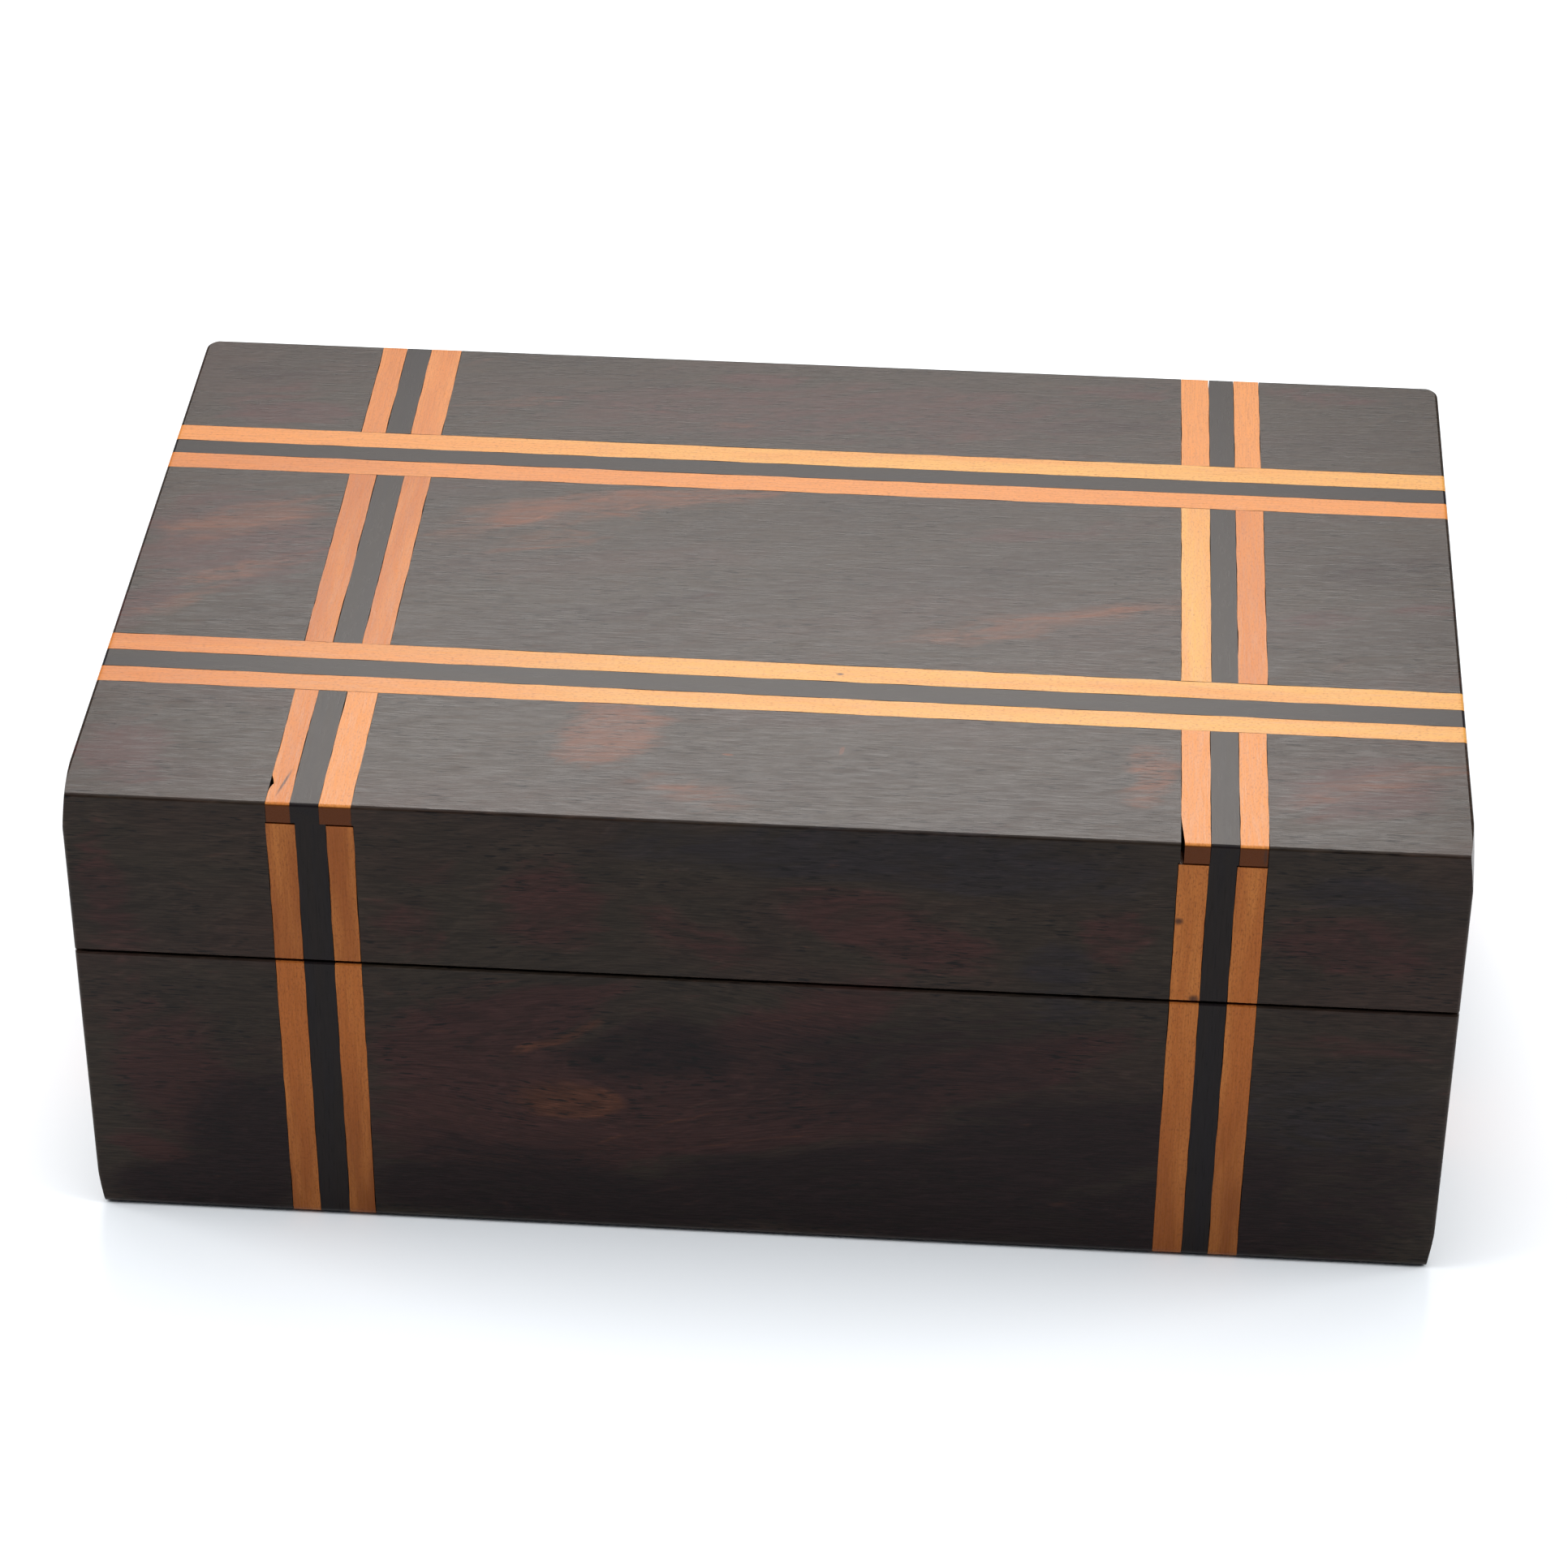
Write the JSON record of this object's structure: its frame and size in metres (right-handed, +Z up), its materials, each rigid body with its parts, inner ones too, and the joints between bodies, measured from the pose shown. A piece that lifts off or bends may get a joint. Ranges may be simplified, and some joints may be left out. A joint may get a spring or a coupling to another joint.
{
  "type": "inlaid wooden box",
  "caption": "Rectangular dark wood keepsake box with a hinged lid; crossing light and dark inlay bands run over the top and down the walls.",
  "frame": {"origin": "under the middle of the box, on the surface it stands on", "axes": "+X along the front from left to right, +Y from front to back, +Z up"},
  "size_m": [0.16, 0.102, 0.061],
  "materials": {
    "dark_wood": "satin polish over open pores",
    "light_wood": "satin polish",
    "black_wood": "satin polish",
    "brass": "lightly tarnished"
  },
  "bodies": {
    "base": {"base_back_and_end_dark_strips": "black_wood", "base_back_light_strips": "light_wood", "base_back_wall": "dark_wood", "base_end_light_strips": "light_wood", "base_front_left_band_dark": "black_wood", "base_front_left_band_inner_light": "light_wood", "base_front_left_band_outer_light": "light_wood", "base_front_right_band_dark": "black_wood", "base_front_right_band_inner_light": "light_wood", "base_front_right_band_outer_light": "light_wood", "base_front_wall": "dark_wood", "base_hinge_screws": "brass", "base_left_wall": "dark_wood", "base_right_wall": "dark_wood", "bottom_panel": "dark_wood", "left_hinge_base_leaf": "brass", "left_hinge_pin": "brass", "right_hinge_base_leaf": "brass", "right_hinge_pin": "brass"},
    "lid": {"left_hinge_lid_leaf": "brass", "lid_back_and_end_dark_strips": "black_wood", "lid_back_light_strips": "light_wood", "lid_back_rail": "dark_wood", "lid_end_light_strips": "light_wood", "lid_front_left_band_dark": "black_wood", "lid_front_left_band_inner_light": "light_wood", "lid_front_left_band_outer_light": "light_wood", "lid_front_rail": "dark_wood", "lid_front_right_band_dark": "black_wood", "lid_front_right_band_inner_light": "light_wood", "lid_front_right_band_outer_light": "light_wood", "lid_hinge_screws": "brass", "lid_left_rail": "dark_wood", "lid_right_rail": "dark_wood", "right_hinge_lid_leaf": "brass", "top_back_band_dark": "black_wood", "top_back_band_inner_light": "light_wood", "top_back_band_outer_light": "light_wood", "top_front_band_dark": "black_wood", "top_front_band_inner_light": "light_wood", "top_front_band_outer_light": "light_wood", "top_left_band_back_dark": "black_wood", "top_left_band_back_inner_light": "light_wood", "top_left_band_back_outer_light": "light_wood", "top_left_band_front_dark": "black_wood", "top_left_band_front_inner_light": "light_wood", "top_left_band_front_outer_light": "light_wood", "top_left_band_middle_dark": "black_wood", "top_left_band_middle_inner_light": "light_wood", "top_left_band_middle_outer_light": "light_wood", "top_panel": "dark_wood", "top_right_band_back_dark": "black_wood", "top_right_band_back_inner_light": "light_wood", "top_right_band_back_outer_light": "light_wood", "top_right_band_front_dark": "black_wood", "top_right_band_front_inner_light": "light_wood", "top_right_band_front_outer_light": "light_wood", "top_right_band_middle_dark": "black_wood", "top_right_band_middle_inner_light": "light_wood", "top_right_band_middle_outer_light": "light_wood"}
  },
  "joints": [
    {"name": "lid_hinge", "type": "hinge", "parent": "base", "child": "lid", "pos_m": [0, 0.049, 0.0386], "axis": [-1, 0, 0], "range_deg": [0, 105]}
  ]
}
